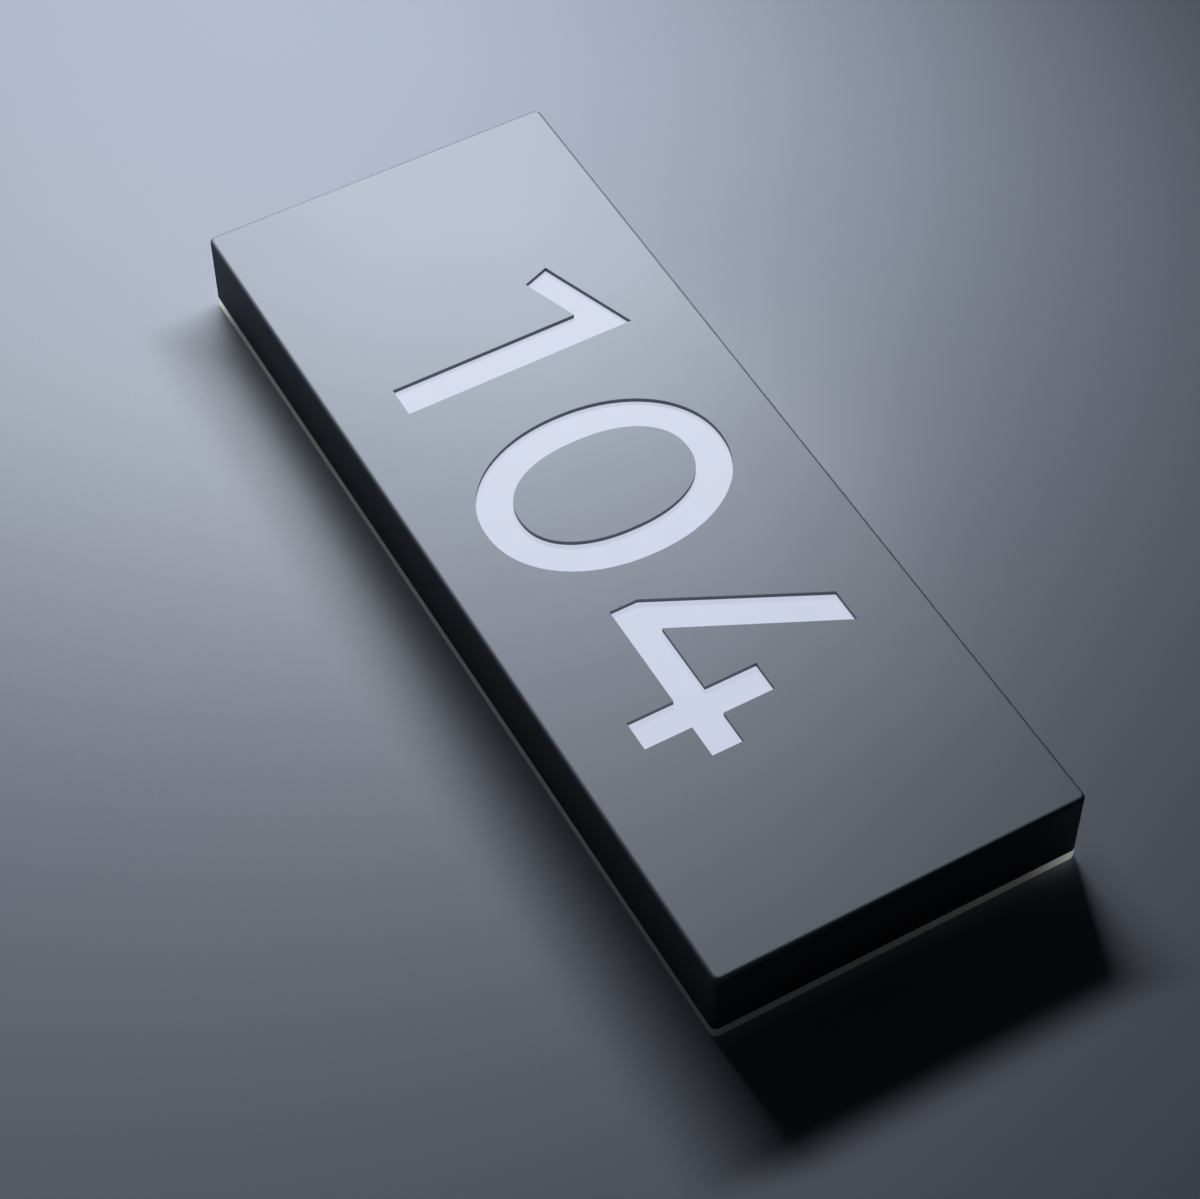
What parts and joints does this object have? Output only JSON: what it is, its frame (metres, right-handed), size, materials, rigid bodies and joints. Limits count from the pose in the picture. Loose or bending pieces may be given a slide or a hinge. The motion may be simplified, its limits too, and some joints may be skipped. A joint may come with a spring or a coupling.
{
  "type": "illuminated house number sign",
  "caption": "Flat oblong wall sign: black metal box with backlit cut-through digits on a clear plastic wall plate, head pulls off its magnets.",
  "frame": {"origin": "centre of the wall plate's back face, on the wall plane; the sign lies on its back", "axes": "+Z out of the face, +X along the number's reading direction, +Y up the digits"},
  "size_m": [0.3, 0.114, 0.0285],
  "materials": {
    "clear_acrylic": "clear cast sheet with satin sawn edges",
    "zinc_steel": "zinc plated, fine turned",
    "stainless_steel": "bright ground",
    "black_anodised": "satin black anodised",
    "opal_acrylic": "opal, lit from behind",
    "white_plastic": "matt white moulding",
    "white_circuit": "white solder mask",
    "led_lens": "phosphor under clear resin",
    "green_circuit": "green solder mask",
    "black_component": "matt moulding compound",
    "capacitor_can": "bare can",
    "wire_sheath": "extruded sheath",
    "grey_plastic": "light moulding grain",
    "tinned_copper": "tinned",
    "orange_plastic": "smooth moulding",
    "black_plastic": "fine moulding grain",
    "nickel_plate": "nickel plated",
    "black_rubber": "matt"
  },
  "bodies": {
    "wall_side": {"wall_plate": "clear_acrylic", "strike_discs": "zinc_steel", "locating_pins": "stainless_steel"},
    "sign_head": {"front_housing": "black_anodised", "zero_counter": "black_anodised", "digit_diffuser": "opal_acrylic", "light_frame": "white_plastic", "led_board": "white_circuit", "leds": "led_lens", "led_board_screws": "stainless_steel", "light_standoffs": "zinc_steel", "driver_standoffs": "zinc_steel", "driver_board": "green_circuit", "driver_screws": "stainless_steel", "driver_coil": "black_component", "driver_capacitors": "capacitor_can", "driver_chip": "black_component", "driver_diodes": "black_component", "link_leads": "wire_sheath", "terminal_block": "grey_plastic", "terminal_contacts": "tinned_copper", "rear_cover": "black_plastic", "magnets": "nickel_plate", "cover_gasket": "black_rubber", "cover_screws": "stainless_steel", "lead_grommet": "black_rubber"},
    "button_1": {"terminal_button_1": "orange_plastic"},
    "button_2": {"terminal_button_2": "orange_plastic"}
  },
  "joints": [
    {"name": "head_pull", "type": "slide", "parent": "wall_side", "child": "sign_head", "axis": [0, 0, 1], "range_m": [0, 0.04]},
    {"name": "terminal_button_1_press", "type": "slide", "parent": "sign_head", "child": "button_1", "axis": [0, 0, 1], "range_m": [0, 0.001], "stiffness_N_per_m": 1500, "springref_m": -0.0015},
    {"name": "terminal_button_2_press", "type": "slide", "parent": "sign_head", "child": "button_2", "axis": [0, 0, 1], "range_m": [0, 0.001], "stiffness_N_per_m": 1500, "springref_m": -0.0015}
  ]
}
